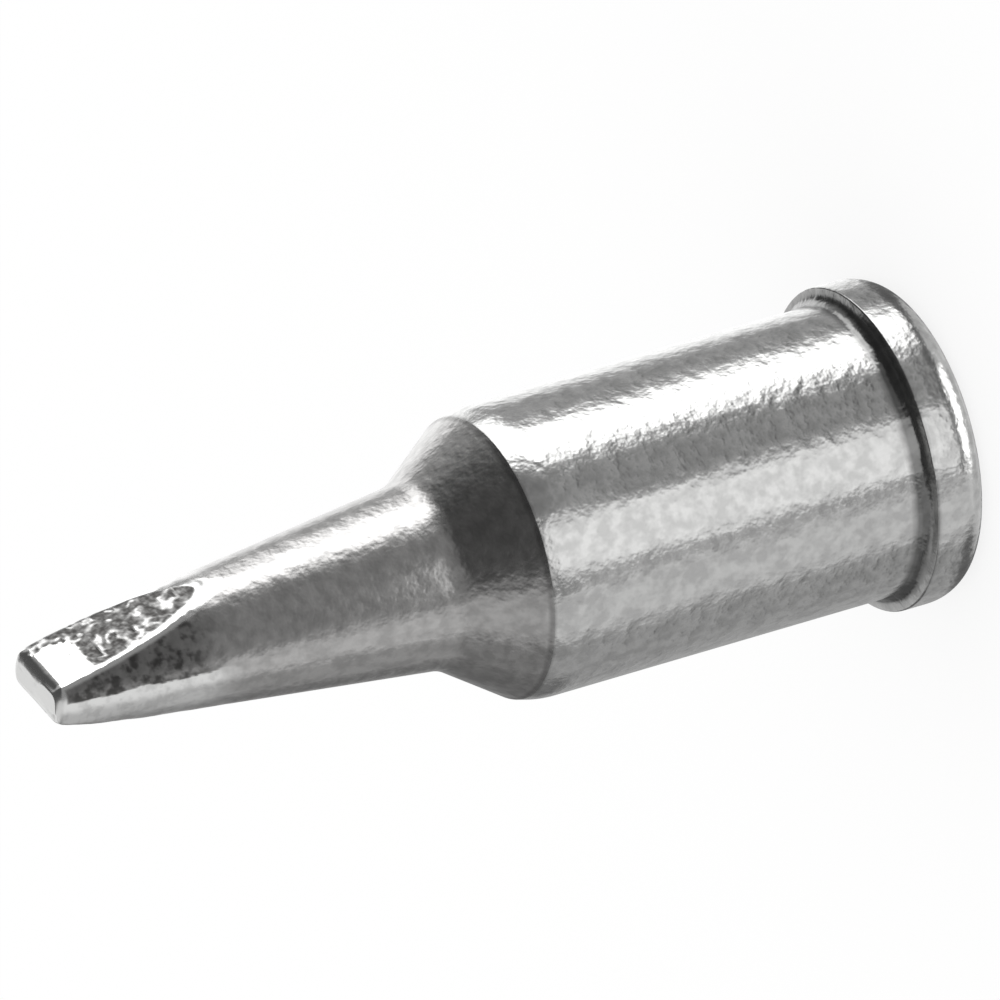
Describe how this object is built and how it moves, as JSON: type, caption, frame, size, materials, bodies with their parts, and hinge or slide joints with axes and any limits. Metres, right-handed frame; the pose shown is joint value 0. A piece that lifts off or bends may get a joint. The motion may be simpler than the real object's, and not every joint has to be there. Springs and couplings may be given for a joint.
{
  "type": "soldering iron tip",
  "caption": "Chisel soldering tip with two flats on a tapered neck, a conical shoulder, and a hollow body with a rear flange that slides over a soldering iron's end.",
  "frame": {"origin": "centre of the flange's rear face, on the axis of the tip", "axes": "+Z along the axis towards the chisel; the chisel's two flats face +Y and -Y and its width lies along X"},
  "size_m": [0.009, 0.009, 0.0267],
  "materials": {
    "plated_metal": "satin plate over copper, tinned with solder at the chisel"
  },
  "bodies": {
    "root": {"soldering_tip": "plated_metal"}
  },
  "joints": []
}
